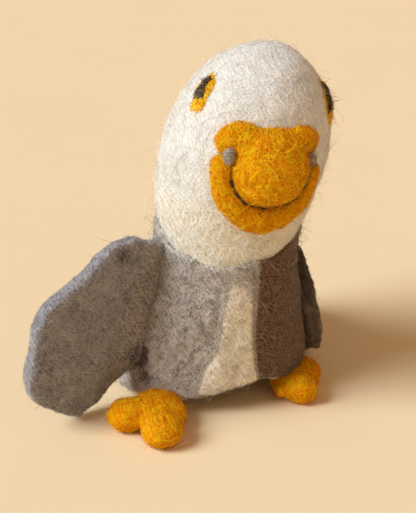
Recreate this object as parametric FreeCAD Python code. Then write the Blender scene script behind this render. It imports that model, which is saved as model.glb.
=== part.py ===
"""A felted wool seagull finger puppet: a hollow body and head that slip over one finger, with two
flapping wings, two webbed feet, a two-part beak, eyes and nostrils of tufted wool.

Millimetres, +Z up. The bird faces -Y, so its right wing is on the -X side. Heights in this file are
measured from the plane that the two soles and the back of the hem stand on, at the axis of the
finger hole. Each piece is then saved with its origin on that axis, where the hole becomes straight."""

import FreeCAD
import Part
import math
import os

V = FreeCAD.Vector

# Driving dimensions
FINGER_R = 8.5  # the finger hole, for a 17 mm finger
BELL_Z = 12.0  # the finger hole is an oval bell below this, then a cone
BORE_Z = 16.0  # and straight above this
HEIGHT = 81.3  # standing plane to crown
NECK_Z = 40.5  # the bend of the neck, level with the finger's last joint
LEAN = 5.0  # degrees the head leans to the bird's left
COAT_T = 3.0  # grey coat
SKIN_T = 3.0  # white skin of the head
SLEEVE_T = 2.2  # white sleeve at the hem
CAP_T = 1.2  # sleeve over the fingertip
WING_T = 3.2
FOOT_T = 4.8
HEEL_R = 1.4
THREAD_R = 0.45
SEAM = 0.02  # felted surfaces that touch
JOINT_GAP = 0.4  # surfaces that move on each other

HEAD_R = 18.0  # the round crown
HEAD = V(3.7, -0.6, HEIGHT - HEAD_R)  # middle of the crown
TAPER = 5.3  # degrees the head narrows towards the neck
NECK = V(1.0, 0, NECK_Z)
BALL_R = 12.2  # rounded top of the sleeve, which the head turns on
STEM_R = FINGER_R + 1.2  # the sleeve under that ball
SWEEP_R = 17.7  # clear of everything the rim of the head sweeps round the neck
SKIRT_Z = NECK_Z - 2.5  # lower rim of the head
WADDING_Z = NECK_Z + 5.5
POCKET_TOP = 68.5

# The coat's outside, from the hem up: height, right flank, left flank, half depth
COAT = [
    (-1.0, -23.1, 20.1, 16.6),
    (8.0, -21.9, 20.1, 16.2),
    (16.0, -19.9, 19.3, 15.9),
    (24.0, -17.3, 17.9, 15.7),
    (30.0, -15.65, 17.15, 15.6),
    (38.5, -14.6, 17.3, 15.6),
]
# The hem is cut on a slope, high in front and low behind
HEM_Z = 2.6
HEM_SLOPE = -0.22
HEM_TILT = 0.06  # and a little higher on the bird's left
SLEEVE_SHOWS = 0.8  # the white sleeve reaches this far below the coat

BEAK = V(2.2, -15.4, 61.5)  # middle of the upper beak's ball
PAD_T = 2.6
BILL_T = 3.2
BEAK_R = 8.9
BILL_R = 12.6  # outside of the lower beak
BILL_DROP = 1.5
BILL_TOP = 61.8

# Wing outline: out from the hinge, and up along it from the lower end of the root
ROOT_LENGTH = 24.0
RIGHT_WING = [(0, 0), (9.6, -9.4), (26.8, -4.6), (28.2, 15.5), (13.6, 31.6), (4.0, 31.8), (0, ROOT_LENGTH)]
LEFT_WING = [(0, 0), (9.6, -6.0), (26.8, -2.4), (28.2, 14.5), (13.6, 29.0), (4.0, 29.2), (0, ROOT_LENGTH - 1)]
WING_CORNERS = [None, 4.0, 5.5, 4.0, 5.0, 2.0, None]
RIGHT_ROOT = (V(-23.0, -4.5, 9.5), V(-17.8, -3.5, 33.0))
LEFT_ROOT = (V(24.5, -1.0, 6.5), V(19.9, -1.0, 30.0))
RIGHT_SWEEP = -21.0  # the right wing is held a little forward
LEFT_SWEEP = 98.0  # the left wing is folded back, behind the body


def ellipse(z, left, right, half_depth, grow=0.0):
    curve = Part.Ellipse(V((left + right) / 2, 0, z), (right - left) / 2 + grow, half_depth + grow)
    return Part.Wire([curve.toShape()])


def loft(wires):
    return Part.makeLoft(wires, True, False)


def coat_solid(grow=0.0):
    return loft([ellipse(z, left, right, depth, grow) for z, left, right, depth in COAT])


def head_solid(grow=0.0, bottom=20.0):
    """The head's outer form, grown outwards by a thickness: a ball on a tangent cone, leant over."""
    radius = HEAD_R + grow
    taper = math.radians(TAPER)
    rim, height = radius * math.cos(taper), HEAD.z - radius * math.sin(taper) - 10
    cone = Part.makeCone(rim - height * math.tan(taper), rim, height, V(HEAD.x, HEAD.y, 10))
    solid = cone.fuse(Part.makeSphere(radius, HEAD))
    solid.rotate(HEAD, V(0, 1, 0), LEAN)
    return solid.cut(below(bottom))


def below(z):
    return Part.makeBox(120, 120, 60, V(-60, -60, z - 60))


def above(z):
    return Part.makeBox(120, 120, 120, V(-60, -60, z))


def hem_cutter(drop):
    """Everything under the sloping hem, and under the standing plane."""
    wedge = Part.makeBox(120, 120, 60, V(-60, -60, -60))
    slope = FreeCAD.Rotation(V(0, 0, 1), V(-HEM_TILT, -HEM_SLOPE, 1))
    wedge.Placement = FreeCAD.Placement(V(0, 0, HEM_Z - drop), slope)
    return wedge.fuse(below(0))


def oval_prism(centre, outward, up, half_height, half_width, length=9.0):
    """An oval bar through a surface, along outward, with its long side along up."""
    bar = Part.Face(Part.Wire([Part.Ellipse(V(0, 0, 0), half_height, half_width).toShape()]))
    bar = bar.extrude(V(0, 0, length))
    turn = FreeCAD.Rotation(up, outward.cross(up), outward, "ZXY")
    bar.Placement = FreeCAD.Placement(centre - outward * (length / 2), turn)
    return bar


def on_crown(bar, thickness, start=0.0):
    """The part of a bar that lies on the round crown, from one height above its skin to another."""
    outer = Part.makeSphere(HEAD_R + thickness, HEAD)
    return bar.common(outer).cut(Part.makeSphere(HEAD_R + start + SEAM, HEAD))


def on_face(bar, thickness, start=0.0):
    """The part of a bar that lies on the front of the head, up to an upright round surface."""
    outer = Part.makeCylinder(HEAD_R + thickness, 60, V(HEAD.x, HEAD.y, 30))
    bar = bar.common(outer)
    if start:
        return bar.cut(Part.makeCylinder(HEAD_R + start + SEAM, 60, V(HEAD.x, HEAD.y, 30)))
    return bar.cut(head_solid(SEAM))


def tube(points, radius):
    """A round thread along straight runs, with balls at its corners."""
    solid = None
    for a, b in zip(points, points[1:]):
        run = Part.makeCylinder(radius, (b - a).Length, a, b - a)
        run = run.fuse(Part.makeSphere(radius, b))
        solid = run if solid is None else solid.fuse(run)
    return solid.fuse(Part.makeSphere(radius, points[0]))


def head_parts():
    ball = Part.makeSphere(BALL_R + JOINT_GAP, NECK)
    pocket = pocket_solid(FINGER_R, POCKET_TOP)
    cap = pocket_solid(FINGER_R + CAP_T, POCKET_TOP + CAP_T)
    inner = head_solid(-SKIN_T)
    core = inner.common(above(WADDING_Z))
    skin = head_solid(0, SKIRT_Z).cut(core).cut(ball).cut(pocket)
    room = head_solid(-SKIN_T - SEAM).common(above(WADDING_Z + SEAM))
    room = room.cut(pocket_solid(FINGER_R + CAP_T + SEAM, POCKET_TOP + CAP_T + SEAM))
    return {
        "head_skin": skin,
        "head_wadding": room.cut(ball),
        "finger_sleeve_tip": cap.cut(pocket).cut(ball).common(above(WADDING_Z + SEAM)),
    }


def pocket_solid(radius, top):
    straight = Part.makeCylinder(radius, top - radius - 30, V(0, 0, 30))
    return straight.fuse(Part.makeSphere(radius, V(0, 0, top - radius)))


def flat_disc(x, z, radius, near=-40, far=0):
    return Part.makeCylinder(radius, far - near, V(x, near, z), V(0, 1, 0))


def beak_parts():
    lobes = flat_disc(-4.6, 66.4, 4.4).fuse(flat_disc(9.2, 65.4, 4.4))
    bridge = Part.makeBox(13, 40, 6.2, V(-4.4, -40, 62.5))
    nose = flat_disc(BEAK.x, BEAK.z, BEAK_R)
    pad = on_face(lobes.fuse(bridge).fuse(nose), PAD_T)
    dome = Part.makeSphere(BEAK_R - 0.1, BEAK).cut(head_solid(SEAM))
    upper = pad.fuse(dome)
    ring = flat_disc(BEAK.x + 0.3, BEAK.z - BILL_DROP, BILL_R).cut(flat_disc(BEAK.x, BEAK.z, BEAK_R + SEAM))
    ring = ring.cut(above(BILL_TOP)).cut(lobes)
    lower = on_face(ring, BILL_T)
    return {"upper_beak": upper, "lower_beak": lower}


def mouth_points():
    """The smile, along the foot of the upper beak and just proud of the lower one."""
    front = HEAD_R + BILL_T
    points = []
    for degrees in range(188, 341, 19):
        angle = math.radians(degrees)
        x = BEAK.x + (BEAK_R + 0.55) * math.cos(angle)
        z = BEAK.z + (BEAK_R + 0.55) * math.sin(angle)
        y = HEAD.y - math.sqrt(front ** 2 - (x - HEAD.x) ** 2)
        points.append(V(x, y - THREAD_R - 0.1, z))
    return points


PATCH_T = 1.3
PUPIL_T = 2.0
EYE_UP = V(0.35, 0.3, 0.89)
RIGHT_EYE = V(-10.0, -5.3, 75.6)
RIGHT_OUT = V(-0.80, -0.27, 0.54)
LEFT_EYE = V(17.6, -5.3, 73.4)
LEFT_OUT = V(0.84, -0.27, 0.46)


def eye(side, centre, outward):
    outward = V(outward).normalize()
    up = V(EYE_UP.x * (1 if side == "right" else -1), EYE_UP.y, EYE_UP.z)
    up = (up - outward * up.dot(outward)).normalize()
    patch = on_crown(oval_prism(centre, outward, up, 4.9, 3.3), PATCH_T)
    pupil_bar = oval_prism(centre + V(0, 1.0, 0.3), outward, up, 3.1, 1.6)
    pupil = on_crown(pupil_bar, PUPIL_T, PATCH_T)
    return {side + "_eye_patch": patch, side + "_pupil": pupil}


def nostril(centre, outward):
    bar = oval_prism(centre, V(outward).normalize(), V(0, 0, 1), 2.1, 1.5)
    return on_face(bar, BILL_T, PAD_T)


def breast_bar(grow=0.0):
    """The stripe that shows between the two sides of the coat, wider towards the hem."""
    sides = [(-2.6, 36), (-3.2, 24), (-8.0, 10), (-9.4, -2), (6.6, -2), (4.6, 12), (3.4, 24), (3.2, 36)]
    corners = [V(x, 0, z) for x, z in sides]
    face = Part.Face(Part.makePolygon(corners + corners[:1]))
    if grow:
        face = face.makeOffset2D(grow)
    bar = face.extrude(V(0, -30, 0))
    return bar


def torso_parts():
    hem, sleeve_hem = hem_cutter(0), hem_cutter(SLEEVE_SHOWS)
    sweep = Part.makeSphere(SWEEP_R, NECK)
    outer = coat_solid().cut(hem)
    shell = outer.cut(coat_solid(-COAT_T)).cut(sweep)
    coat = shell.cut(breast_bar(SEAM))
    panel = shell.common(breast_bar())
    ball = Part.makeSphere(BALL_R, NECK)
    mouth = loft([
        ellipse(-1.0, COAT[0][1] + COAT_T + SLEEVE_T, COAT[0][2] - COAT_T - SLEEVE_T, COAT[0][3] - COAT_T - SLEEVE_T),
        ellipse(6.0, -13.5, 13.5, 10.6),
        ellipse(BELL_Z, -FINGER_R - 1.6, FINGER_R + 1.6, FINGER_R + 1.599),
    ])
    bore = Part.makeCylinder(FINGER_R, 60, V(0, 0, BORE_Z))
    lead = BORE_Z - BELL_Z
    bore = bore.fuse(Part.makeCone(FINGER_R + lead * 0.3, FINGER_R, lead, V(0, 0, BELL_Z)))
    sleeve = coat_solid(-COAT_T - SEAM).cut(sweep)
    stem = Part.makeCylinder(STEM_R, 30, V(0, 0, 10))
    sleeve = sleeve.fuse(stem).fuse(ball).cut(sleeve_hem).cut(mouth).cut(bore)
    return {"body_coat": coat, "breast_panel": panel, "finger_sleeve": sleeve}


def rounded_polygon(points, radii):
    """A closed outline with a tangent arc at each corner that has a radius."""
    edges, starts, ends = [], [], []
    count = len(points)
    for i, (point, radius) in enumerate(zip(points, radii)):
        before = (points[i - 1] - point).normalize()
        after = (points[(i + 1) % count] - point).normalize()
        if radius is None:
            starts.append(point)
            ends.append(point)
            continue
        half = before.getAngle(after) / 2
        reach = radius / math.tan(half)
        middle = point + (before + after).normalize() * (radius / math.sin(half) - radius)
        starts.append(point + before * reach)
        ends.append(point + after * reach)
        edges.append(Part.Arc(starts[-1], middle, ends[-1]).toShape())
    for i in range(count):
        edges.append(Part.makeLine(ends[i], starts[(i + 1) % count]))
    return Part.Wire(Part.__sortEdges__(edges))


def wing(root, sweep, side, points):
    """A flat felt wing of an outline. side is -1 for the bird's right. sweep turns it back from straight out."""
    low, high = root
    up = (high - low).normalize()
    outline = rounded_polygon([V(x, 0, z) for x, z in points], WING_CORNERS)
    slab = Part.Face(outline).extrude(V(0, WING_T, 0))
    slab.translate(V(0, -WING_T / 2, 0))
    rim = [e for e in slab.Edges if rounds_wing(e)]
    slab = slab.makeFillet(WING_T * 0.42, rim)
    slab = slab.fuse(Part.makeCylinder(WING_T / 2, points[-1][1], V(0, 0, 0)))
    angle = math.radians(sweep)
    out = V(side * math.cos(angle), math.sin(angle), 0)
    out = (out - up * out.dot(up)).normalize()
    slab.Placement = FreeCAD.Placement(low, FreeCAD.Rotation(out, up.cross(out), up, "ZXY"))
    return slab


def rounds_wing(edge):
    """An edge of the wing's outline, but not of its root or across its thickness."""
    box = edge.BoundBox
    return box.YLength < 0.01 and box.XMax > 0.5


def foot(hinge, pointing, side, toes):
    """A webbed foot with two toes, each given by how far out and across it is and its radius. Its heel
    is rounded about the hinge."""
    pad = None
    for x, y, radius in toes:
        toe = Part.makeCylinder(radius, FOOT_T, V(x, y, 0))
        toe = toe.makeFillet(1.7, [toe.Edges[0]])
        pad = toe if pad is None else pad.fuse(toe)
    web = [V(0, -7.5, 0), V(toes[0][0], -9.6, 0), V(toes[1][0], 7.8, 0), V(0, 6.8, 0)]
    web = Part.Face(Part.makePolygon(web + web[:1])).extrude(V(0, 0, HEEL_R * 2))
    heel = Part.makeCylinder(HEEL_R, 14.3, V(0, -7.5, HEEL_R), V(0, 1, 0))
    pad = pad.fuse(web).fuse(heel).removeSplitter()
    out = V(side * math.sin(pointing), -math.cos(pointing), 0)
    across = V(0, 0, 1).cross(out)
    if side < 0:
        pad = pad.mirror(V(0, 0, 0), V(0, 1, 0))
    pad.Placement = FreeCAD.Placement(V(hinge.x, hinge.y, 0), FreeCAD.Rotation(out, across, V(0, 0, 1), "ZXY"))
    return pad


FEET = {
    "right": (V(-15.8, -11.3, HEEL_R), math.radians(35), -1, [(11.8, -4.4, 4.9), (8.8, 4.9, 5.0)]),
    "left": (V(14.4, -9.6, HEEL_R), math.radians(58), 1, [(8.2, -4.4, 4.8), (7.2, 4.6, 4.4)]),
}


def save(parts):
    os.makedirs("parts", exist_ok=True)
    for old in os.listdir("parts"):
        os.remove(os.path.join("parts", old))
    for name, shape in parts.items():
        solids = shape.Solids
        shape = solids[0] if len(solids) == 1 else Part.makeCompound(solids)
        shape.translate(V(0, 0, -BORE_Z))
        if not shape.isValid():
            print("not valid:", name)
        shape.exportStep(f"parts/{name}.step")
        print(f"{name:22s} {len(solids)} solid(s) {shape.Volume:9.1f} mm3")


def main():
    parts = {}
    parts.update(head_parts())
    parts.update(beak_parts())
    parts["mouth_stitch"] = tube(mouth_points(), THREAD_R)
    parts.update(eye("right", RIGHT_EYE, RIGHT_OUT))
    parts.update(eye("left", LEFT_EYE, LEFT_OUT))
    parts["right_nostril"] = nostril(V(-7.2, -18.2, 64.3), V(-0.5, -0.87, 0))
    parts["left_nostril"] = nostril(V(12.0, -18.6, 64.1), V(0.42, -0.9, 0))
    parts.update(torso_parts())
    parts["right_wing"] = wing(RIGHT_ROOT, RIGHT_SWEEP, -1, RIGHT_WING)
    parts["left_wing"] = wing(LEFT_ROOT, LEFT_SWEEP, 1, LEFT_WING)
    for side, (hinge, pointing, sign, toes) in FEET.items():
        parts[side + "_foot"] = foot(hinge, pointing, sign, toes)
    save(parts)


main()
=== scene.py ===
import bpy
import bmesh
import math
import random
import numpy as np
from mathutils import Matrix, Vector, noise
from mathutils.bvhtree import BVHTree


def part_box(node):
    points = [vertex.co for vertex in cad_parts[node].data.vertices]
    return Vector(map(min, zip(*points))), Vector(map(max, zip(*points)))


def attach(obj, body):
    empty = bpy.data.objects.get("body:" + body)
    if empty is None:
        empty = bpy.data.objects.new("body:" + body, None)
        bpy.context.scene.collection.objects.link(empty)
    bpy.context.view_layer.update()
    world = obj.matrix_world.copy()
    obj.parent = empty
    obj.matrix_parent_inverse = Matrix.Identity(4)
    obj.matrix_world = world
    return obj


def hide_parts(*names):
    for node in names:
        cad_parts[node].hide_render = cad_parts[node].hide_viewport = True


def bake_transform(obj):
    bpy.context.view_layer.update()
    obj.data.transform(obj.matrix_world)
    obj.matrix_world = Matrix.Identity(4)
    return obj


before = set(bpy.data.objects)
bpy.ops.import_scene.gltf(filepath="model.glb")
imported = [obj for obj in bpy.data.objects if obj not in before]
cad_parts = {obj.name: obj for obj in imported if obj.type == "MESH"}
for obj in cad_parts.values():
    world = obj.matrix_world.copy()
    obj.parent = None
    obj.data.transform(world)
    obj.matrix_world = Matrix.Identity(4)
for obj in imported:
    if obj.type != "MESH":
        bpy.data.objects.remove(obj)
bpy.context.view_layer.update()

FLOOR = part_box("right_foot")[0][2]  # the plane the soles stand on
MM = 0.001
TOP = 82  # the height of the crown
AROUND = 96  # points in a ring round the bird
TO_POINT = -60  # as a ring's growth, this shrinks the ring to a point


def at(x, y, z):
    """A point given in millimetres, with its height from the standing plane, in the row frame."""
    return Vector((x, y, z)) * MM + Vector((0, 0, FLOOR))


def share(value):
    """Limits a value to the range from 0 to 1."""
    return min(max(value, 0), 1)


# ---------------------------------------------------------------- shapes

# The outside of the head and body: height, half width, half depth
SECTIONS = [
    (0, 21.5, 15.8), (8, 20.9, 15.4), (16, 19.5, 15.0), (24, 17.6, 14.6), (30, 16.2, 14.3),
    (36, 15.4, 14.4), (42, 16.3, 15.0), (48, 17.9, 15.9), (54, 18.6, 16.6), (60, 18.5, 16.9),
    (66, 17.6, 16.7), (71, 15.6, 15.4), (75, 13.0, 13.4), (78, 10.3, 10.8), (80.3, 7.3, 7.5),
    (81.6, 3.9, 3.9), (TOP, 0.5, 0.5),
]
CROWN = 66


def section(z):
    """Half width and half depth at a height: a curve through SECTIONS, and straight lines from CROWN up."""
    heights = [s[0] for s in SECTIONS]
    z = min(max(z, 0), TOP)
    i = max(k for k in range(len(SECTIONS) - 1) if heights[k] <= z)
    f = (z - heights[i]) / (heights[i + 1] - heights[i])
    if z > CROWN:
        return [SECTIONS[i][k] * (1 - f) + SECTIONS[i + 1][k] * f for k in (1, 2)]
    quad = [SECTIONS[min(max(k, 0), len(SECTIONS) - 1)] for k in (i - 1, i, i + 1, i + 2)]
    out = []
    for k in (1, 2):
        a, b, c, d = (q[k] for q in quad)
        curve = 2 * b + (c - a) * f + (2 * a - 5 * b + 4 * c - d) * f**2
        out.append(0.5 * (curve + (3 * b - a - 3 * c + d) * f**3))
    return out


def middle(z):
    """The middle of the bird at a height. It leans to its left, bows at the neck and tips forward."""
    bow = 0.9 * math.exp(-(((z - 47) / 9) ** 2)) + 0.5 * math.exp(-(((z - 36) / 6) ** 2))
    x = -1.5 + 0.075 * z - bow + 0.06 * max(z - 60, 0)
    return x, -0.03 * max(z - 36, 0)


def hem(t):
    """The hem's height: high in front and low behind, with a lift over the finger and small waves."""
    t %= math.tau
    lift = 2.9 * math.exp(-(((t - 4.95) / 0.45) ** 2)) - 0.5 * math.exp(-(((t - 4.1) / 0.3) ** 2))
    waves = 0.3 * math.sin(5 * t + 1) + 0.2 * math.sin(9 * t)
    return 2.7 - 2.4 * math.sin(t) + 0.6 * math.cos(t) + waves + lift


THROAT = math.radians(-110)  # the direction of the front of the throat


def from_front(t):
    """How far round the bird a direction is from THROAT, from 0 to pi."""
    return abs((t - THROAT + math.pi) % math.tau - math.pi)


def collar(t):
    """The height where the grey wool of the coat ends: low on the throat, high at the sides and behind."""
    waves = 0.4 * math.sin(3 * t + 0.6) + 0.35 * math.sin(7 * t) + 0.2 * math.sin(12 * t)
    return 36.6 + 5.2 * math.sin(min(from_front(t), math.pi / 2)) ** 2 + waves


def shoulder(t, z):
    """How far the coat bulges towards the roots of the wings."""
    right = 2.4 * math.exp(-((((t % math.tau) - 3.42) / 0.5) ** 2))
    top = 0.25 * math.exp(-((((t % math.tau) - 3.1) / 0.5) ** 2))
    return right * math.exp(-(((z - 25) / 11) ** 2)) + top * math.exp(-(((z - 39) / 5) ** 2))


def ring(z, grow, height=None):
    """A ring round the bird at height z, or at height(t) in each direction t, grown outwards by grow."""
    points = []
    for k in range(AROUND):
        t = math.tau * k / AROUND
        zz = height(t) if height else z
        a, b = section(zz)
        x, y = middle(zz)
        if height:
            a, b = (half + shoulder(t, zz) for half in (a, b))
        points.append((x + max(a + grow, 0.05) * math.cos(t), y + max(b + grow, 0.05) * math.sin(t), zz))
    return points


def loft(name, rings, closed=True):
    """One skin over a list of rings. closed joins the last ring to the first."""
    count = len(rings[0])
    verts = [at(*p) for r in rings for p in r]
    faces = []
    last = len(rings) if closed else len(rings) - 1
    for i in range(last):
        j = (i + 1) % len(rings)
        for k in range(count):
            m = (k + 1) % count
            faces.append((i * count + k, i * count + m, j * count + m, j * count + k))
    if not closed:
        faces.append(tuple(range(count - 1, -1, -1)))
        faces.append(tuple(range((len(rings) - 1) * count, len(rings) * count)))
    return made(name, verts, faces)


def made(name, verts, faces):
    """A mesh object with its faces turned outwards."""
    mesh = bpy.data.meshes.new(name)
    mesh.from_pydata(verts, [], faces)
    bm = bmesh.new()
    bm.from_mesh(mesh)
    bmesh.ops.recalc_face_normals(bm, faces=bm.faces)
    bm.to_mesh(mesh)
    bm.free()
    obj = bpy.data.objects.new(name, mesh)
    bpy.context.scene.collection.objects.link(obj)
    return obj


def apply_modifiers(obj):
    """Replaces an object's mesh by what its modifiers make of it."""
    bpy.context.view_layer.update()
    graph = bpy.context.evaluated_depsgraph_get()
    mesh = bpy.data.meshes.new_from_object(obj.evaluated_get(graph))
    obj.modifiers.clear()
    old = obj.data
    obj.data = mesh
    bpy.data.meshes.remove(old)
    mesh.name = obj.name
    mesh.shade_smooth()


def soften(obj, voxel, smooth):
    """Turns rough shapes into one closed felt-like skin. voxel is in millimetres."""
    remesh = obj.modifiers.new("voxel", "REMESH")
    remesh.mode = "VOXEL"
    remesh.voxel_size = voxel * MM
    ease = obj.modifiers.new("ease", "SMOOTH")
    ease.factor = 0.5
    ease.iterations = smooth
    apply_modifiers(obj)


def lumpy(obj, *layers):
    """Moves each vertex along its normal by layers of noise: (millimetres, size in millimetres)."""
    mesh = obj.data
    moved = np.empty(len(mesh.vertices) * 3)
    mesh.vertices.foreach_get("co", moved)
    normals = np.array([v.normal[:] for v in mesh.vertices])
    moved = moved.reshape(-1, 3)
    push = np.zeros(len(moved))
    for amount, size in layers:
        push += [amount * MM * noise.noise(Vector(p) * (1000 / size)) for p in moved]
    mesh.vertices.foreach_set("co", (moved + normals * push[:, None]).ravel())
    mesh.update()


def blob(name, balls, voxel, smooth, flat=False):
    """One soft form out of overlapping balls: centre, half sizes, and a turn about Z in degrees.
    flat presses its underside against the floor."""
    bm = bmesh.new()
    for centre, half, turn in balls:
        place = Matrix.Translation(at(*centre)) @ Matrix.Rotation(math.radians(turn), 4, "Z")
        place = place @ Matrix.Diagonal((*[h * MM for h in half], 1))
        bmesh.ops.create_icosphere(bm, subdivisions=3, radius=1.0, matrix=place)
    mesh = bpy.data.meshes.new(name)
    bm.to_mesh(mesh)
    bm.free()
    obj = bpy.data.objects.new(name, mesh)
    bpy.context.scene.collection.objects.link(obj)
    soften(obj, voxel, smooth)
    if flat:
        for v in obj.data.vertices:
            if v.co.z < FLOOR + 0.8 * MM:
                v.co.z = max(FLOOR, FLOOR + (v.co.z - FLOOR) * 0.5 + 0.2 * MM)
    return obj


def tree(obj):
    """A search tree over an object's faces."""
    mesh = obj.data
    return BVHTree.FromPolygons([v.co for v in mesh.vertices], [p.vertices[:] for p in mesh.polygons])


EDGE_SINK = 0.12  # how far the edge of a patch sinks into the surface


def patch(name, surface, rows, lift, sink=0.5, edge=0.35):
    """A felted-on layer over a surface. rows is a grid of points near the surface, from one side to
    the other. The layer is lift thick in the middle, thins out over the share edge of its half width,
    and reaches sink below the surface."""
    n, m = len(rows), len(rows[0])
    top, low = [], []
    for i, row in enumerate(rows):
        for j, p in enumerate(row):
            co, normal, _, _ = surface.find_nearest(p)
            u, v = 2 * i / (n - 1) - 1, 2 * j / (m - 1) - 1
            inwards = min(1 - abs(u), 1 - abs(v)) / edge
            h = lift * math.sin(share(inwards) * math.pi / 2)
            top.append(co + normal * (h - EDGE_SINK) * MM)
            low.append(co - normal * sink * MM)
    faces = []
    for i in range(n - 1):
        for j in range(m - 1):
            a, b, c, d = i * m + j, (i + 1) * m + j, (i + 1) * m + j + 1, i * m + j + 1
            faces.append((a, b, c, d))
            faces.append((d + n * m, c + n * m, b + n * m, a + n * m))
    rim = list(range(m)) + [i * m + m - 1 for i in range(1, n)]
    rim += [(n - 1) * m + j for j in range(m - 2, -1, -1)] + [i * m for i in range(n - 2, 0, -1)]
    for a, b in zip(rim, rim[1:] + rim[:1]):
        faces.append((a, b, b + n * m, a + n * m))
    obj = made(name, top + low, faces)
    obj.data.shade_smooth()
    return obj


def oval_rows(centre, up, outward, half_up, half_side, count, ragged, seed):
    """Grid points of an oval, squeezed from a square so that its edge is a clean curve."""
    up, outward = Vector(up).normalized(), Vector(outward).normalized()
    side = outward.cross(up).normalized()
    rows = []
    for i in range(count):
        row = []
        for j in range(count):
            u, v = 2 * i / (count - 1) - 1, 2 * j / (count - 1) - 1
            a, b = u * math.sqrt(1 - v * v / 2), v * math.sqrt(1 - u * u / 2)
            r = 1 + ragged * noise.noise(Vector((a * 2.2, b * 2.2, seed)))
            row.append(at(*centre) + (up * a * half_up + side * b * half_side) * MM * r)
        rows.append(row)
    return rows


# ---------------------------------------------------------------- fibres


FIBRE_STEPS = 6  # quads in a fibre


def fibres(obj, count, length, lift, width, seed, stray, keep=None):
    """Loose wool fibres: thin curled ribbons that lie on the surface, apart from a share of strays that
    stand off it. keep says where they may grow. They join the mesh as its second material."""
    rng = random.Random(seed)
    mesh = obj.data
    mesh.calc_loop_triangles()
    surface = tree(obj)
    corners = np.array([t.vertices[:] for t in mesh.loop_triangles])
    area = np.array([t.area for t in mesh.loop_triangles])
    chosen = np.searchsorted(np.cumsum(area) / area.sum(), [rng.random() for _ in range(count)])
    co = [v.co.copy() for v in mesh.vertices]
    verts, faces = [], []
    for tri in chosen:
        a, b, c = (co[k] for k in corners[tri])
        r, s = rng.random(), rng.random()
        if r + s > 1:
            r, s = 1 - r, 1 - s
        p = a + (b - a) * r + (c - a) * s
        if keep and not keep(p):
            continue
        normal = surface.find_nearest(p)[1]
        way = normal.cross(Vector([rng.uniform(-1, 1) for _ in range(3)])).normalized()
        long = length * rng.uniform(0.5, 1.3) * MM
        rise = lift * rng.uniform(0.4, 1.6) * MM
        is_stray = rng.random() < stray
        if is_stray:
            rise *= rng.uniform(3, 9)
            long *= rng.uniform(0.8, 1.8)
        bend = rng.uniform(-1, 1) * 0.5
        curl = rng.uniform(-0.9, 0.9)
        half = width * rng.uniform(0.6, 1.2) * MM / 2
        tilt = rng.uniform(-0.9, 0.9)
        base = len(verts)
        for k in range(FIBRE_STEPS + 1):
            f = k / FIBRE_STEPS
            ground, n, _, _ = surface.find_nearest(p)
            h = rise * (math.sin(f * math.pi) if not is_stray else f * f)
            spot = ground + n * (h + 0.03 * MM)
            across = (n.cross(way).normalized() * math.cos(tilt) + n * math.sin(tilt)) * half * (1 - 0.6 * f)
            verts += [spot - across, spot + across]
            if k:
                faces.append((base + 2 * k - 2, base + 2 * k - 1, base + 2 * k + 1, base + 2 * k))
            way = Matrix.Rotation(bend + curl * (f - 0.5), 3, n) @ way
            way = (way - n * way.dot(n)).normalized()
            p = ground + way * (long / FIBRE_STEPS)
    strands = made(obj.name + "_strands", verts, faces)
    strands.data.shade_smooth()
    bm = bmesh.new()
    bm.from_mesh(mesh)
    first = len(bm.faces)
    bm.from_mesh(strands.data)
    bm.faces.ensure_lookup_table()
    for face in bm.faces[first:]:
        face.material_index = 1
    bm.to_mesh(mesh)
    bm.free()
    bpy.data.objects.remove(strands)


# ---------------------------------------------------------------- materials


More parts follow.
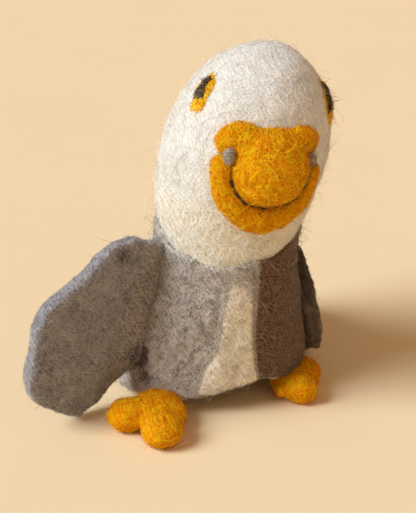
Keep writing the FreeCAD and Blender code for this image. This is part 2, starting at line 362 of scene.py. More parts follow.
class Nodes:
    """Short names for adding shader nodes to a material."""

    def __init__(self, name):
        self.material = bpy.data.materials.new(name)
        self.material.use_nodes = True
        self.tree = self.material.node_tree
        self.shader = next(n for n in self.tree.nodes if n.type == "BSDF_PRINCIPLED")
        self.place = self.add("ShaderNodeTexCoord").outputs["Object"]

    def add(self, kind, **values):
        node = self.tree.nodes.new(kind)
        for key, value in values.items():
            setattr(node, key, value)
        return node

    def link(self, a, b):
        self.tree.links.new(a, b)

    def noise(self, size, detail=3.0, rough=0.55, twist=0.0):
        """Cloudy noise whose lumps are about size millimetres."""
        node = self.add("ShaderNodeTexNoise")
        node.inputs["Scale"].default_value = 1000 / size
        node.inputs["Detail"].default_value = detail
        node.inputs["Roughness"].default_value = rough
        node.inputs["Distortion"].default_value = twist
        self.link(self.place, node.inputs["Vector"])
        return node.outputs["Fac"]

    def strands(self, pitch, turn, wander):
        """Wavy lines like lying fibres, pitch millimetres apart, wandering off their direction."""
        turned = self.add("ShaderNodeVectorRotate", rotation_type="EULER_XYZ")
        turned.inputs["Rotation"].default_value = turn
        self.link(self.place, turned.inputs["Vector"])
        wave = self.add("ShaderNodeTexWave", wave_profile="SIN")
        wave.inputs["Scale"].default_value = 314 / pitch  # a scale of 1 repeats every 314 mm
        wave.inputs["Distortion"].default_value = wander
        wave.inputs["Detail"].default_value = 2.0
        wave.inputs["Detail Scale"].default_value = 0.32
        wave.inputs["Detail Roughness"].default_value = 0.6
        self.link(turned.outputs["Vector"], wave.inputs["Vector"])
        return wave.outputs["Fac"]

    def math(self, kind, a, b):
        node = self.add("ShaderNodeMath", operation=kind)
        for socket, value in zip(node.inputs, (a, b)):
            if isinstance(value, (int, float)):
                socket.default_value = value
            else:
                self.link(value, socket)
        return node.outputs[0]

    def times(self, a, b):
        return self.math("MULTIPLY", a, b)

    def plus(self, a, b):
        return self.math("ADD", a, b)

    def ramp(self, value, low, high):
        """Rises smoothly from 0 at low to 1 at high."""
        node = self.add("ShaderNodeMapRange", interpolation_type="SMOOTHSTEP")
        node.inputs["From Min"].default_value = low
        node.inputs["From Max"].default_value = high
        self.link(value, node.inputs["Value"])
        return node.outputs["Result"]

    def mix(self, factor, a, b):
        node = self.add("ShaderNodeMix", data_type="RGBA")
        colours = [s for s in node.inputs if s.type == "RGBA"]
        self.link(factor, node.inputs["Factor"])
        for socket, value in zip(colours, (a, b)):
            if isinstance(value, tuple):
                socket.default_value = (*value, 1)
            else:
                self.link(value, socket)
        return next(s for s in node.outputs if s.type == "RGBA")

    def attribute(self, name):
        return self.add("ShaderNodeAttribute", attribute_name=name).outputs["Fac"]

    def bump(self, height, strength, depth):
        """Bumps that are at most depth millimetres deep."""
        node = self.add("ShaderNodeBump")
        node.inputs["Strength"].default_value = strength
        node.inputs["Distance"].default_value = depth * MM
        self.link(height, node.inputs["Height"])
        self.link(node.outputs["Normal"], self.shader.inputs["Normal"])


def felt(name, deep, base, light, over=None, depth=0.35, sheen=0.3, glow=0.0, lint=0.5, tint=(1, 1, 1)):
    """Felted wool in three tones. over mixes in other colours where a mesh attribute says so:
    {attribute: (tone, light tone)}. depth is that of the bumps in millimetres, glow the light that
    passes below the surface, lint the strength of the light tone, and tint the colour of the sheen."""
    n = Nodes(name)
    lines = n.math("MAXIMUM", n.strands(0.9, (0.3, 0.5, 0.2), 14), n.strands(0.75, (1.2, 0.1, 1.1), 16))
    lines = n.math("MAXIMUM", lines, n.strands(0.6, (0.4, 1.3, 2.2), 18))
    lines = n.math("POWER", lines, 2.2)
    clouds, grain = n.noise(6.5, 4, 0.6), n.noise(0.55, 3, 0.6)
    colour = n.mix(n.ramp(clouds, 0.36, 0.64), deep, base)
    swirl = n.ramp(n.noise(4.2, 3, 0.55, twist=1.6), 0.42, 0.66)
    flecks = n.ramp(n.noise(1.7, 3, 0.65, twist=1.2), 0.45, 0.72)
    colour = n.mix(n.times(swirl, lint), colour, light)
    colour = n.mix(n.times(flecks, lint * 0.7), colour, light)
    colour = n.mix(n.times(n.ramp(lines, 0.45, 1.0), lint), colour, light)
    for key, (tone, pale) in (over or {}).items():
        fray = n.times(n.math("SUBTRACT", n.noise(1.6, 4, 0.7, twist=2.0), 0.5), 0.9)
        edge = n.plus(n.attribute(key), fray)
        other = n.mix(n.ramp(lines, 0.3, 1.0), tone, pale)
        colour = n.mix(n.ramp(edge, 0.35, 0.65), colour, other)
    n.link(colour, n.shader.inputs["Base Color"])
    height = n.plus(n.times(lines, 0.6), n.times(grain, 0.7))
    n.bump(n.plus(height, n.times(n.noise(2.4, 3, 0.6), 0.8)), 0.9, depth)
    n.link(n.plus(0.82, n.times(grain, 0.18)), n.shader.inputs["Roughness"])
    n.shader.inputs["Sheen Weight"].default_value = sheen
    n.shader.inputs["Sheen Roughness"].default_value = 0.45
    n.shader.inputs["Sheen Tint"].default_value = (*tint, 1)
    n.shader.inputs["Specular IOR Level"].default_value = 0.06
    if glow:
        n.shader.inputs["Subsurface Weight"].default_value = glow
        n.shader.inputs["Subsurface Radius"].default_value = (1.0, 0.7, 0.45)
        n.shader.inputs["Subsurface Scale"].default_value = 1.6 * MM
    return n.material


def wool(name, base, light, sheen=0.15, over=None):
    """Loose fibres: two tones that change from strand to strand. over is the same as in felt."""
    n = Nodes(name)
    streak = n.ramp(n.noise(1.3, 2, 0.6), 0.35, 0.65)
    colour = n.mix(streak, base, light)
    for key, (tone, pale) in (over or {}).items():
        colour = n.mix(n.ramp(n.attribute(key), 0.3, 0.6), colour, n.mix(streak, tone, pale))
    n.link(colour, n.shader.inputs["Base Color"])
    n.link(n.plus(0.75, n.times(n.noise(0.8, 2), 0.2)), n.shader.inputs["Roughness"])
    n.shader.inputs["Sheen Weight"].default_value = sheen
    n.shader.inputs["Specular IOR Level"].default_value = 0.08
    return n.material


GREY = (0.36, 0.325, 0.295)
ORANGE = (0.9, 0.5, 0.05)
white_felt = felt(
    "white_felt", (0.60, 0.59, 0.52), (0.72, 0.72, 0.68), (0.86, 0.86, 0.85),
    {"low": ((0.70, 0.665, 0.52), (0.86, 0.83, 0.72))}, depth=0.22, glow=0.25, lint=0.4,
)
white_fuzz = wool("white_fuzz", (0.68, 0.67, 0.62), (0.86, 0.86, 0.83))
grey_felt = felt("grey_felt", (0.19, 0.16, 0.14), GREY, (0.66, 0.62, 0.58), {
    "pale": ((0.62, 0.57, 0.46), (0.78, 0.75, 0.67)),
    # brown_and_shade: browner wool with painted shade mixed in, on the side away from the key light
    "brown_and_shade": ((0.085, 0.042, 0.018), (0.19, 0.115, 0.066)),
    # crease_shade: painted shade in the dimples where the wings meet the coat
    "crease_shade": ((0.035, 0.024, 0.018), (0.12, 0.09, 0.07)),
})
# The left wing's felt: grey wool a little browner than the right wing's, darkened further as painted shade
# for the side turned away from the key light.
left_wing_shade_felt = felt(
    "left_wing_shade_felt", (0.115, 0.085, 0.064), (0.16, 0.124, 0.097), (0.29, 0.235, 0.19),
    # crease_shade: painted shade in the dimples at the wing's root
    {"crease_shade": ((0.035, 0.022, 0.015), (0.12, 0.08, 0.06))},
)
left_wing_shade_fuzz = wool("left_wing_shade_fuzz", (0.12, 0.09, 0.07), (0.29, 0.235, 0.19))
grey_fuzz = wool("grey_fuzz", (0.20, 0.18, 0.165), (0.52, 0.49, 0.46), over={
    # brown_and_shade: browner fibres with painted shade mixed in
    "brown_and_shade": ((0.13, 0.085, 0.055), (0.34, 0.25, 0.18)),
    # crease_shade: painted shade on the fibres in the dimples at the wing roots
    "crease_shade": ((0.05, 0.035, 0.028), (0.16, 0.12, 0.10)),
})
wing_felt = felt("wing_felt", (0.19, 0.188, 0.205), (0.26, 0.258, 0.285), (0.46, 0.46, 0.50), {
    "root": ((0.27, 0.24, 0.215), (0.50, 0.46, 0.42)),
    # crease_shade: painted shade in the dimples at the wing's root
    "crease_shade": ((0.04, 0.028, 0.024), (0.14, 0.11, 0.10)),
}, lint=0.42)
wing_fuzz = wool("wing_fuzz", (0.20, 0.19, 0.205), (0.46, 0.455, 0.49))
breast_felt = felt(
    "breast_felt", (0.70, 0.62, 0.48), (0.88, 0.80, 0.64), (0.96, 0.93, 0.84),
    {"pale": (GREY, (0.40, 0.36, 0.31))}, glow=0.1,
)
cream_fuzz = wool("cream_fuzz", (0.50, 0.44, 0.34), (0.86, 0.81, 0.70))
sleeve_felt = felt("sleeve_felt", (0.54, 0.48, 0.36), (0.70, 0.64, 0.52), (0.86, 0.82, 0.73), glow=0.15)
beak_felt = felt(
    "beak_felt", (0.651, 0.183, 0.00048), (0.807, 0.271, 0.00096), (0.883, 0.521, 0.00576),
    depth=0.42, sheen=0.06, lint=0.6, tint=ORANGE,
)
beak_fuzz = wool("beak_fuzz", (0.781, 0.266, 0.00096), (0.883, 0.621, 0.0096), 0.03)
foot_felt = felt(
    "foot_felt", (0.643, 0.166, 0.00032), (0.873, 0.278, 0.00064), (0.873, 0.488, 0.00384),
    depth=0.38, sheen=0.06, lint=0.6, tint=ORANGE,
)
foot_fuzz = wool("foot_fuzz", (0.824, 0.263, 0.00064), (0.873, 0.586, 0.0096), 0.03)
eye_felt = felt(
    "eye_felt", (0.728, 0.276, 0.002), (0.96, 0.456, 0.005), (0.96, 0.768, 0.06),
    sheen=0.06, lint=0.6, tint=ORANGE,
)
pupil_felt = felt(
    "pupil_felt", (0.008, 0.005, 0.004), (0.018, 0.012, 0.009), (0.16, 0.13, 0.10), sheen=0.02, lint=0.35,
)
pupil_fuzz = wool("pupil_fuzz", (0.015, 0.010, 0.008), (0.22, 0.18, 0.13), 0.02)
nostril_felt = felt("nostril_felt", (0.20, 0.165, 0.13), (0.30, 0.26, 0.21), (0.50, 0.45, 0.38))
nostril_fuzz = wool("nostril_fuzz", (0.25, 0.21, 0.17), (0.6, 0.52, 0.4))


def thread(name):
    """Dark spun thread with a fine twist."""
    n = Nodes(name)
    twist = n.strands(0.35, (0.2, 0.7, 0.4), 1.5)
    colour = n.mix(n.ramp(twist, 0.2, 0.9), (0.014, 0.008, 0.005), (0.075, 0.042, 0.024))
    n.link(colour, n.shader.inputs["Base Color"])
    n.bump(twist, 0.8, 0.1)
    n.link(n.plus(0.5, n.times(n.noise(0.6), 0.2)), n.shader.inputs["Roughness"])
    return n.material


dark_thread = thread("dark_thread")


def dress(obj, *materials):
    """Gives an object its felt, then the wool of its loose fibres."""
    for material in materials:
        obj.data.materials.append(material)


def paint(obj, name, value):
    """Stores a value from 0 to 1 on each vertex, from its place in millimetres."""
    layer = obj.data.attributes.new(name, "FLOAT", "POINT")
    floor = Vector((0, 0, FLOOR))
    layer.data.foreach_set("value", [value(*((v.co - floor) * 1000)) for v in obj.data.vertices])


def near(spots):
    """Full strength at the given spots, fading to 0 at each one's radius."""
    def value(x, y, z):
        best = 0.0
        for spot, radius, strength in spots:
            d = math.dist((x, y, z), spot) / radius
            best = max(best, strength * max(0.0, 1 - d))
        return best
    return value


# ---------------------------------------------------------------- the head

HEAD_LEVELS = [
    TOP, 81.6, 80.8, 79.7, 78.3, 76.6, 74.6, 72.3, 69.8, 67, 64, 60.5, 57, 53.5, 50, 46.5, 43, 40, 37, 34.2,
]
outside = [ring(z, -0.35) for z in HEAD_LEVELS]
inside = [ring(z, -2.6) for z in reversed(HEAD_LEVELS[6:])]
inside += [ring(z, -2.6 - (z - 74.6) * 0.4) for z in (76.2, 77.6, 78.6)]
inside.append(ring(79.0, TO_POINT))
head = loft("head_felt", [ring(TOP, TO_POINT)] + outside + inside, closed=False)
soften(head, 0.75, 4)
lumpy(head, (0.5, 11), (0.22, 3.2))
head_skin = tree(head)
dress(head, white_felt, white_fuzz)

# ---------------------------------------------------------------- the body

COAT_LEVELS = [0, 0.06, 0.16, 0.3, 0.45, 0.6, 0.75, 0.88, 0.96, 1.0]


def coat_ring(f, grow):
    """A ring at the share f of the way up from the hem to the collar."""
    def height(t):
        return hem(t) + (collar(t) - hem(t)) * f
    return ring(0, grow, height)


def thinning(f):
    """0 up to nine tenths of the coat's height, then up to 1 at the collar."""
    return max(0, (f - 0.9) / 0.1)


rings = [coat_ring(0.0, -1.2), coat_ring(-0.015, -0.5)]
rings += [coat_ring(f, 0.35 - 0.5 * thinning(f) ** 2) for f in COAT_LEVELS]
rings += [coat_ring(f, -2.4 + 1.6 * thinning(f)) for f in reversed(COAT_LEVELS[1:-1])]
rings += [coat_ring(0.01, -2.3)]
coat = loft("coat_felt", rings)
soften(coat, 0.62, 5)
lumpy(coat, (0.7, 10), (0.3, 3.4))
body_skin = tree(coat)
dress(coat, grey_felt, grey_fuzz)

STRIPE_HEIGHTS = [0, 6, 11.7, 17, 22, 32, 37]
STRIPE_FROM = [-11.4, -10.6, -9.2, -6.8, -5.6, -5.4, -6.0]
STRIPE_TO = [7.4, 6.2, 4.7, 3.8, 3.4, 3.0, 3.4]


def stripe(z):
    """The x where the pale stripe begins and ends at a height."""
    return np.interp(z, STRIPE_HEIGHTS, STRIPE_FROM), np.interp(z, STRIPE_HEIGHTS, STRIPE_TO)


breast_rows = []
for f in (i / 39 for i in range(40)):
    row = []
    for g in (j / 29 for j in range(30)):
        z0 = 3.6 + 1.6 * math.cos((g - 0.5) * 2)
        z = z0 + (36 - z0) * f
        first, last = stripe(z)
        x = first * (1 - g) + last * g
        a, b = section(z)
        cx, cy = middle(z)
        y = cy - (b + 0.5) * math.sqrt(max(0.0, 1 - ((x - cx) / a) ** 2))
        row.append(at(x, y, z))
    breast_rows.append(row)
breast = patch("breast_felt", body_skin, breast_rows, 0.55)
dress(breast, breast_felt, cream_fuzz)


def breast_fade(x, y, z):
    """The stripe fades into the grey at its sides and its top."""
    first, last = stripe(z)
    inner = min(x - first, last - x)
    return 1 - share(inner / 2.6) * share((38 - z) / 12)


def sleeve_ring(z, a, b, low=False):
    """An oval ring of the lining. low follows the hem, with z as the height over it plus 1."""
    x, y = middle(z)
    x *= max(0.0, 1 - z / 25)
    turns = [math.tau * k / AROUND for k in range(AROUND)]
    return [(x + a * math.cos(t), y + b * math.sin(t), hem(t) - 1.0 + z if low else z) for t in turns]


def cap_ring(radius, z):
    """A round ring of the lining on the axis of the finger hole."""
    turns = [math.tau * k / AROUND for k in range(AROUND)]
    return [(radius * math.cos(t), radius * math.sin(t), z) for t in turns]


def dome(radius, top, steps=9):
    """Rings from the top of the round cap over the fingertip down to where it becomes straight."""
    angles = [math.pi / 2 * k / steps for k in range(1, steps + 1)]
    curved = [cap_ring(radius * math.sin(a), top - radius * (1 - math.cos(a))) for a in angles]
    return [cap_ring(0.05, top)] + curved


# One lining from the fingertip down to the hem inside, and back up outside: height, half width, half depth
BORE = ((38, 8.5, 8.5), (26, 8.5, 8.5), (17, 8.5, 8.5), (13, 9.6, 8.9), (9, 12.4, 9.6))
RIM = (
    (2.4, 15.7, 10.6), (0.1, 16.9, 11.6), (-0.5, 18.2, 12.8), (-0.2, 19.5, 13.9), (0.7, 19.9, 14.3),
    (1.7, 18.6, 13.0),
)
BACK_UP = ((10, 17.8, 12.4), (18, 16.2, 11.8), (28, 13.2, 11.2), (36, 11.4, 11.0))
shell = dome(8.6, 68.6) + [cap_ring(8.6, 52), cap_ring(8.5, 45)]
shell += [sleeve_ring(*r) for r in BORE]
shell += [sleeve_ring(*r, low=True) for r in RIM]
shell += [sleeve_ring(*r) for r in BACK_UP]
shell += [cap_ring(10.0, 45), cap_ring(9.8, 52)] + dome(9.8, 69.8)[::-1]
sleeve = loft("sleeve_felt", shell, closed=False)
soften(sleeve, 0.5, 4)
lumpy(sleeve, (0.3, 6), (0.12, 2.5))
dress(sleeve, sleeve_felt, cream_fuzz)

# ---------------------------------------------------------------- the beak

upper = blob("upper_beak_felt", [
    ((2.2, -17.2, 60.9), (8.6, 7.0, 8.1), 0),
    ((2.2, -15.9, 64.0), (9.7, 4.2, 4.8), 0),
    ((2.4, -15.6, 65.5), (10.2, 3.2, 4.0), 0),
    ((-3.4, -14.9, 66.6), (5.6, 3.1, 3.9), -8),
    ((-1.6, -16.0, 65.0), (5.4, 3.7, 4.6), -20),
    ((6.6, -16.4, 64.4), (4.8, 3.6, 4.4), 20),
    ((8.8, -15.5, 65.4), (4.9, 2.9, 4.0), 10),
], 0.42, 6)
lumpy(upper, (0.35, 5), (0.16, 1.9))
dress(upper, beak_felt, beak_fuzz)

# The lower beak: balls along a U round the upper beak, from the bird's right to its left
band = []
for f in (k / 26 for k in range(27)):
    angle = math.radians(178 + f * 174)
    width = 2.2 + 0.8 * math.sin(f * math.pi) - 0.7 * max(f - 0.6, 0) / 0.4
    x = 1.9 + (10.9 - width * 0.5) * math.cos(angle)
    z = 61.5 + (13.6 - width * 0.5) * math.sin(angle)
    y = head_skin.find_nearest(at(x, -24, z))[0].y * 1000 - 0.6
    band.append(((x, y, z), (width, 2.6 + 0.5 * math.sin(f * math.pi), width), 0))
lower = blob("lower_beak_felt", band, 0.42, 6)
lumpy(lower, (0.35, 5), (0.16, 1.9))
dress(lower, beak_felt, beak_fuzz)

# The smile: backstitches that sink into the crease between the two halves of the beak
SMILE_STEPS, STITCH_STEPS = 60, 6
beak_skins = [tree(upper), tree(lower)]
smile = []
for k in range(SMILE_STEPS + 1):
    angle = math.radians(186 + k / SMILE_STEPS * 168)
    x = 2.3 + 8.7 * math.cos(angle)
    z = 61.2 + 8.9 * math.sin(angle)
    hits = [skin.ray_cast(at(x, -40, z), Vector((0, 1, 0)))[0] for skin in beak_skins]
    y = min(h.y * 1000 for h in hits if h) if any(hits) else -18
    smile.append(Vector((x, y, z)))
for _ in range(6):
    eased = [(a + 2 * b + c) / 4 for a, b, c in zip(smile, smile[1:], smile[2:])]
    smile = [smile[0], *eased, smile[-1]]
curve = bpy.data.curves.new("mouth_stitch_line", "CURVE")
curve.dimensions = "3D"
curve.bevel_depth = 0.42 * MM
curve.bevel_resolution = 3
curve.use_fill_caps = True
for k in range(0, SMILE_STEPS - STITCH_STEPS // 2, STITCH_STEPS):
    piece = smile[k:k + STITCH_STEPS + 2]
    spline = curve.splines.new("NURBS")
    spline.points.add(len(piece) - 1)
    for i, p in enumerate(piece):
        f = i / (len(piece) - 1)
        rise = math.sin(f * math.pi) * 0.55 - 0.35
        spline.points[i].co = (*at(p.x, p.y - rise, p.z), 1)
        spline.points[i].radius = 0.75 + 0.35 * math.sin(f * math.pi)
    spline.order_u = 4
    spline.use_endpoint_u = True
stitch = bpy.data.objects.new("mouth_stitch_thread", curve)
bpy.context.scene.collection.objects.link(stitch)
dress(stitch, dark_thread)

nostrils = []
for side, centre, half in (
    ("right", (-6.9, -18.2, 64.5), (1.35, 1.2, 1.9)),
    ("left", (11.0, -18.2, 62.4), (1.1, 1.1, 1.7)),
):
    spot = blob(side + "_nostril_felt", [(centre, half, 15)], 0.25, 3)
    lumpy(spot, (0.22, 1.8), (0.1, 0.8))
    dress(spot, nostril_felt, nostril_fuzz)
    nostrils.append(spot)

# ---------------------------------------------------------------- the eyes

eyes = []
for side, centre, up, outward in (
    ("right", (-11.2, -5.1, 75.2), (0.58, 0.40, 0.72), (-0.78, -0.30, 0.55)),
    ("left", (18.4, -7.4, 70.4), (-0.22, 0.42, 0.88), (0.90, -0.30, 0.32)),
):
    centre = Vector(centre)
    rows = oval_rows(centre, up, outward, 5.6, 2.8, 26, 0.34, 3)
    eye = patch(side + "_eye_felt", head_skin, rows, 0.7, edge=0.8)
    dress(eye, eye_felt, beak_fuzz)
    pupil_centre = centre + Vector(up) * 0.6 + Vector((-0.4, 0, 0.2))
    rows = oval_rows(pupil_centre, up, outward, 4.0, 2.0, 24, 0.45, 9)
    pupil = patch(side + "_pupil_felt", head_skin, rows, 1.15, sink=0.1, edge=0.8)
    dress(pupil, pupil_felt, pupil_fuzz)
    eyes.append((side, eye, pupil))

# ---------------------------------------------------------------- the wings

# Outlines: how far out from the hinge and how far up along it, from the bottom of the root round the tip
RIGHT_OUTLINE = [
    (-3.4, 1.0), (-1.0, -1.0), (3.0, -3.6), (6.4, -8.0), (10.6, -11.4), (15.0, -10.4), (21.0, -8.0),
    (25.6, -4.8), (27.2, -0.6), (27.6, 5.5), (28.0, 11.0), (27.2, 15.8), (23.6, 19.6), (19.4, 23.6),
    (16.2, 28.2), (12.8, 31.0), (8.4, 31.6), (3.0, 30.6), (-1.0, 29.6), (-3.4, 27.5), (-3.4, 14),
]
LEFT_OUTLINE = [
    (-3.4, 2.0), (-1.0, 0.0), (3.0, -2.6), (6.4, -4.8), (10.6, -6.0), (16.0, -5.2), (22.0, -3.8),
    (25.6, -2.2), (27.2, 1.6), (27.8, 8.0), (27.4, 13.0), (24.0, 18.0), (19.0, 22.5), (15.0, 25.4),
    (10.6, 25.6), (5.0, 22.4), (0.5, 17.5), (-3.4, 13.5), (-3.4, 8),
]
# The swell where a wing is felted on: its section, and its height along the hinge with its size there
SWELL = [(-5.5, 0), (-3.5, 2.6), (0, 2.9), (4, 2.2), (8, 1.3), (8, -1.3), (4, -2.2), (0, -2.9), (-3.5, -2.6)]
SWELL_LEVELS = [(-1, 0.3), (2, 0.75), (6, 1), (17, 1), (22, 0.85), (26, 0.6), (28, 0.3)]


def wing(name, outline, low, high, sweep, side, thick, full):
    """A wing on a hinge from low to high, sweep degrees back, 2 * thick thick, with a swell scaled by
    full at its root. Gives the wing, the low end of its hinge, and its outward and upward directions."""
    low, high = Vector(low), Vector(high)
    up = (high - low).normalized()
    angle = math.radians(sweep)
    out = Vector((side * math.cos(angle), math.sin(angle), 0))
    out = (out - up * out.dot(up)).normalized()
    flat = up.cross(out).normalized()
    count = len(outline)
    verts, faces = [], []
    for h in (-1, 1):
        for s, u in outline:
            warp = 1.1 * math.sin(s / 28 * math.pi) * (1 if side < 0 else -1) + 0.5 * math.sin(u / 9)
            p = low + out * s + up * u + flat * (h * thick + warp)
            verts.append(at(*p))
    faces.append(tuple(range(count)))
    faces.append(tuple(range(2 * count - 1, count - 1, -1)))
    for k in range(count):
        m = (k + 1) % count
        faces.append((k, m, m + count, k + count))
    first, width = len(verts), len(SWELL)
    for u, size in SWELL_LEVELS:
        for s, h in SWELL:
            verts.append(at(*(low + out * (s * size - 0.6) + up * u + flat * (h * size * full))))
    for i in range(len(SWELL_LEVELS) - 1):
        for k in range(width):
            a, b = first + i * width + k, first + i * width + (k + 1) % width
            faces.append((a, b, b + width, a + width))
    faces.append(tuple(range(first, first + width)))
    faces.append(tuple(range(len(verts) - 1, len(verts) - 1 - width, -1)))
    obj = made(name, verts, faces)
    soften(obj, 0.5, 12)
    lumpy(obj, (0.9, 8), (0.3, 3))
    return obj, low, out, up


right_wing = wing(
    "right_wing_felt", RIGHT_OUTLINE, (-23.0, -4.5, 9.5), (-17.8, -3.5, 33.0), -21,
    side=-1, thick=1.55, full=1.0,
)
left_wing = wing(
    "left_wing_felt", LEFT_OUTLINE, (23.7, -0.6, 6.5), (18.2, 0.4, 30.0), 98,
    side=1, thick=1.25, full=0.25,
)
dress(right_wing[0], wing_felt, wing_fuzz)
# The left wing wears felt and fibres darkened with painted shade.
dress(left_wing[0], left_wing_shade_felt, left_wing_shade_fuzz)

# ---------------------------------------------------------------- the feet

right_foot = blob("right_foot_felt", [
    ((-19.4, -22.0, 3.3), (4.7, 5.6, 3.5), -20),
    ((-24.7, -15.2, 3.4), (4.9, 4.2, 3.5), 10),
    ((-15.9, -16.2, 3.0), (3.6, 4.6, 3.2), 5),
    ((-18.8, -14.8, 3.7), (6.2, 5.2, 3.7), 20),
    ((-16.4, -11.6, 3.2), (6.2, 2.6, 2.6), 38),
], 0.5, 7, flat=True)
lumpy(right_foot, (0.5, 6), (0.2, 2.2))
left_foot = blob("left_foot_felt", [
    ((18.8, -6.8, 3.3), (4.1, 4.4, 3.5), 20),
    ((15.8, -12.8, 3.2), (4.1, 4.0, 3.4), -20),
    ((15.0, -9.6, 3.3), (4.6, 5.6, 3.3), 15),
    ((13.2, -9.6, 2.8), (2.2, 5.2, 2.2), -25),
], 0.5, 7, flat=True)
lumpy(left_foot, (0.5, 6), (0.2, 2.2))
for foot in (right_foot, left_foot):
    dress(foot, foot_felt, foot_fuzz)

# ---------------------------------------------------------------- loose fibres


def above(low, high=math.inf):
    """Keeps what grows above one height and below another."""
    return lambda p: FLOOR + low * MM < p.z < FLOOR + high * MM


def on_root(p):
    """Keeps what grows at the root of the right wing."""
    _, low, out, _ = right_wing
    return (p - at(*low)).dot(out) < 6 * MM


# Piece, count, length, lift, width, seed, share of strays, where
for row in (
    (head, 7000, 4.2, 0.18, 0.085, 1, 0.10, above(36)),
    (coat, 6500, 4.6, 0.25, 0.09, 2, 0.12),
    (head, 900, 6.0, 0.3, 0.085, 51, 0.9, above(36)),
    (coat, 1000, 6.0, 0.35, 0.085, 52, 0.9),
    (head, 2600, 5.0, 0.45, 0.09, 53, 0.25, above(36, 43)),
    (coat, 2600, 5.0, 0.5, 0.09, 54, 0.25, above(34)),
    (right_wing[0], 1200, 6.0, 0.5, 0.09, 55, 0.3, on_root),
    (head, 260, 8.5, 0.28, 0.13, 56, 1.0, above(36)),
    (coat, 240, 8.5, 0.32, 0.13, 57, 1.0, above(12)),
    (breast, 700, 4.0, 0.22, 0.09, 3, 0.06),
    (sleeve, 700, 3.0, 0.15, 0.09, 4, 0.02, above(-math.inf, 12)),
    (upper, 2600, 3.4, 0.26, 0.11, 5, 0.14),
    (lower, 1600, 3.4, 0.26, 0.11, 6, 0.14),
    (right_wing[0], 3200, 4.2, 0.2, 0.09, 7, 0.1),
    (left_wing[0], 2200, 4.2, 0.2, 0.09, 8, 0.1),
    (right_foot, 1500, 3.4, 0.26, 0.1, 9, 0.1),
    (left_foot, 1300, 3.4, 0.26, 0.1, 10, 0.1),
):
    fibres(*row)
for k, spot in enumerate(nostrils):
    fibres(spot, 90, 1.8, 0.25, 0.10, 20 + k, 0.05)
for k, (_, eye, pupil) in enumerate(eyes):
    fibres(eye, 320, 2.2, 0.2, 0.10, 30 + k, 0.3)
    fibres(pupil, 150, 1.6, 0.3, 0.10, 40 + k, 0.15)

# ---------------------------------------------------------------- paint


def pale(x, y, z):
    """The throat's edge of the coat is mixed with white wool."""
    t = math.atan2(y, x)
    return share((z - collar(t) + 2.4) / 3.0) * share(1.9 - from_front(t))


def brown_and_shade(x, y, z):
    """The bird's left side is browner and darker in front: partly browner wool, partly painted shade on the
    side turned away from the key light.
    """
    return share((x - 1.8) / 2.2) * share((3 - y) / 10) * 0.74


# Painted shade: dark spots in the dimples where the wings meet the coat
DIMPLE_SHADE = [((-20.5, -5.5, 12.5), 5.6, 1.2), ((-18.2, -7.0, 8.0), 5.0, 0.9), ((20.5, 0, 9), 6, 0.8)]
paint(coat, "pale", pale)
paint(coat, "crease_shade", near(DIMPLE_SHADE))
# Painted shade mixed with browner wool on the bird's left side
paint(coat, "brown_and_shade", brown_and_shade)
paint(breast, "pale", breast_fade)
for obj, low, out, up in (right_wing, left_wing):
    paint(obj, "root", lambda x, y, z: share((8.5 - (Vector((x, y, z)) - low).dot(out)) / 6))
    # Painted shade in the dimples at the top and bottom of the wing's root
    dent_shade = [(low + out * 10.5 + up * 28, 5.2, 1.1), (low + out * -0.5 + up * 3.9, 6.0, 1.2)]
    paint(obj, "crease_shade", near(dent_shade))
paint(head, "low", lambda x, y, z: min(share((60 - z) / 18), 0.85))

# No fibre goes through the floor
for obj in (coat, breast, sleeve, right_wing[0], left_wing[0], right_foot, left_foot):
    for vertex in obj.data.vertices:
        vertex.co.z = max(vertex.co.z, FLOOR + 0.02 * MM)

# ---------------------------------------------------------------- what each piece stands for

for obj, nodes, slot in (
    (head, ["head_skin", "head_wadding"], "white_wool"),
    (coat, ["body_coat"], "grey_wool"),
    (breast, ["breast_panel"], "breast_wool"),
    (sleeve, ["finger_sleeve", "finger_sleeve_tip"], "sleeve_wool"),
):
    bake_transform(obj)
    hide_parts(*nodes)
for obj, body, node, slot in (
    (upper, "head", "upper_beak", "beak_wool"),
    (lower, "head", "lower_beak", "beak_wool"),
    (stitch, "head", "mouth_stitch", "dark_thread"),
    (nostrils[0], "head", "right_nostril", "nostril_wool"),
    (nostrils[1], "head", "left_nostril", "nostril_wool"),
):
    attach(obj, body)
    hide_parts(node)
for side, eye, pupil in eyes:
    for obj, node, slot in ((eye, "_eye_patch", "eye_wool"), (pupil, "_pupil", "pupil_wool")):
        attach(obj, "head")
        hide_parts(side + node)
for name, (obj, low, out, up) in (("right_wing", right_wing), ("left_wing", left_wing)):
    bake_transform(obj)
    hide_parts(name)
for name, obj, hinge, way in (
    ("right_foot", right_foot, (-15.8, -11.3, 1.4), (-0.574, -0.819)),
    ("left_foot", left_foot, (14.4, -9.6, 1.4), (0.848, -0.530)),
):
    low = at(hinge[0] - way[0] * 1.5, hinge[1] - way[1] * 1.5, hinge[2])
    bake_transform(obj)
    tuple(low)
    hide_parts(name)

# ---------------------------------------------------------------- floor, light and camera


FLOOR_HALF = 12  # half the width of the paper in metres


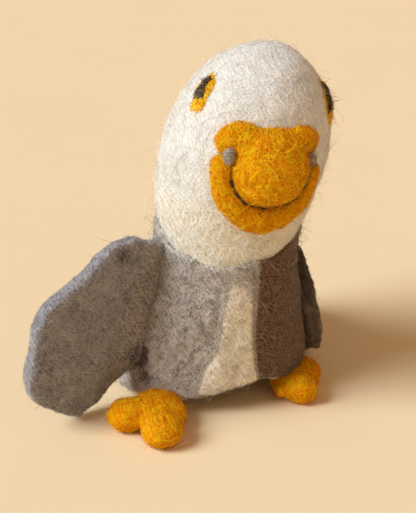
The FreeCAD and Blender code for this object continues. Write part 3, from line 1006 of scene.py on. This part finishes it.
def studio():
    """A plain paper floor that fills the picture, and warm light from all round."""
    n = Nodes("floor_paper")
    colour = n.mix(n.noise(30, 3), (0.865, 0.71, 0.46), (0.885, 0.725, 0.475))
    n.link(colour, n.shader.inputs["Base Color"])
    n.shader.inputs["Roughness"].default_value = 0.95
    corners = [(x * FLOOR_HALF, y * FLOOR_HALF, FLOOR) for x, y in ((-1, -1), (1, -1), (1, 1), (-1, 1))]
    floor = made("floor", corners, [(0, 1, 2, 3)])
    dress(floor, n.material)
    world = bpy.data.worlds.new("soft_room")
    world.use_nodes = True
    background = world.node_tree.nodes["Background"]
    background.inputs["Color"].default_value = (1.0, 0.66, 0.42, 1)
    background.inputs["Strength"].default_value = 0.38
    bpy.context.scene.world = world


AZIMUTH, ELEVATION, ROLL = map(math.radians, (-20, 26, 4))
DISTANCE = 330  # from AIM, assumed
LENS = 105.2632  # millimetres, for a sensor 36 mm high
AIM = at(0, -2, 40)  # the middle of the bird
AIM_ACROSS, AIM_DOWN = -0.014, 0.019  # how far beside and below AIM the camera looks, as slopes
# Towards the camera, level to the right, up in the picture before it is rolled, then both rolled
back = Vector((
    math.sin(AZIMUTH) * math.cos(ELEVATION), -math.cos(AZIMUTH) * math.cos(ELEVATION), math.sin(ELEVATION),
))
level = (-back).cross(Vector((0, 0, 1))).normalized()
over = level.cross(-back)
right = level * math.cos(ROLL) + over * math.sin(ROLL)
rolled_up = over * math.cos(ROLL) - level * math.sin(ROLL)


def lamp(name, direction, angle, strength, colour):
    """A far soft lamp that shines from a direction."""
    data = bpy.data.lights.new(name, "SUN")
    data.angle = math.radians(angle)
    data.energy = strength
    data.color = colour
    obj = bpy.data.objects.new(name, data)
    obj.location = at(0, 0, 40) + direction.normalized() * 0.5
    obj.rotation_euler = (-direction).to_track_quat("-Z", "Y").to_euler()
    bpy.context.scene.collection.objects.link(obj)


def camera():
    """A camera at the photo's viewing angle, with the bird where the photo has it."""
    aim = (-back + right * AIM_ACROSS - rolled_up * AIM_DOWN).normalized()
    x = (right - aim * right.dot(aim)).normalized()
    y = x.cross(aim)
    data = bpy.data.cameras.new("camera")
    data.lens = LENS
    data.clip_start = 0.01
    obj = bpy.data.objects.new("camera", data)
    turn = Matrix((x, y, -aim)).transposed().to_4x4()
    obj.matrix_world = Matrix.Translation(AIM + back * DISTANCE * MM) @ turn
    bpy.context.scene.collection.objects.link(obj)
    bpy.context.scene.camera = obj


studio()
lamp("key", level * -0.74 + over * 0.42 + back * 0.60, 30, 3.4, (0.93, 0.99, 1.04))
lamp("fill", level * 0.5 + over * 0.3 + back * 0.9, 60, 0.15, (1.0, 0.6, 0.36))
camera()
bpy.context.scene.view_settings.view_transform = "Standard"
